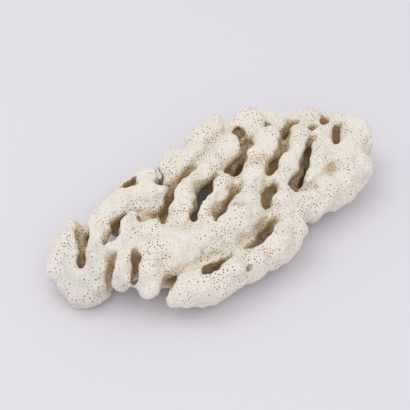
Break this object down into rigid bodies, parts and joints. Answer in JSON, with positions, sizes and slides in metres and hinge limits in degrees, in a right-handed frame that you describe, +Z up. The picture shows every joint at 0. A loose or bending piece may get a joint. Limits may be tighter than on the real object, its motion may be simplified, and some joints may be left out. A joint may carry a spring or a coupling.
{
  "type": "branching coral",
  "caption": "Fragment of a branching coral, lying flat: thick rounded ridges fused side by side, with deep narrow slots between them and a rounded foot at one end",
  "frame": {"origin": "middle of the footprint, on the surface that the coral rests on", "axes": "+X along the coral from its foot to its far end, +Z up"},
  "size_m": [0.243, 0.134, 0.0419],
  "materials": {
    "coral": "dry matt coral skeleton, cream white, pitted all over with small tan pores"
  },
  "bodies": {
    "root": {"foot": "coral", "left_rim": "coral", "back_rim": "coral", "far_rim": "coral", "main_ridge": "coral", "left_finger": "coral", "right_finger": "coral", "front_ridge": "coral", "knob_ridge": "coral", "inner_ridge": "coral", "middle_ridge": "coral", "short_ridge": "coral", "right_ridge": "coral", "far_knobs": "coral", "right_end": "coral", "right_flank": "coral"}
  },
  "joints": []
}
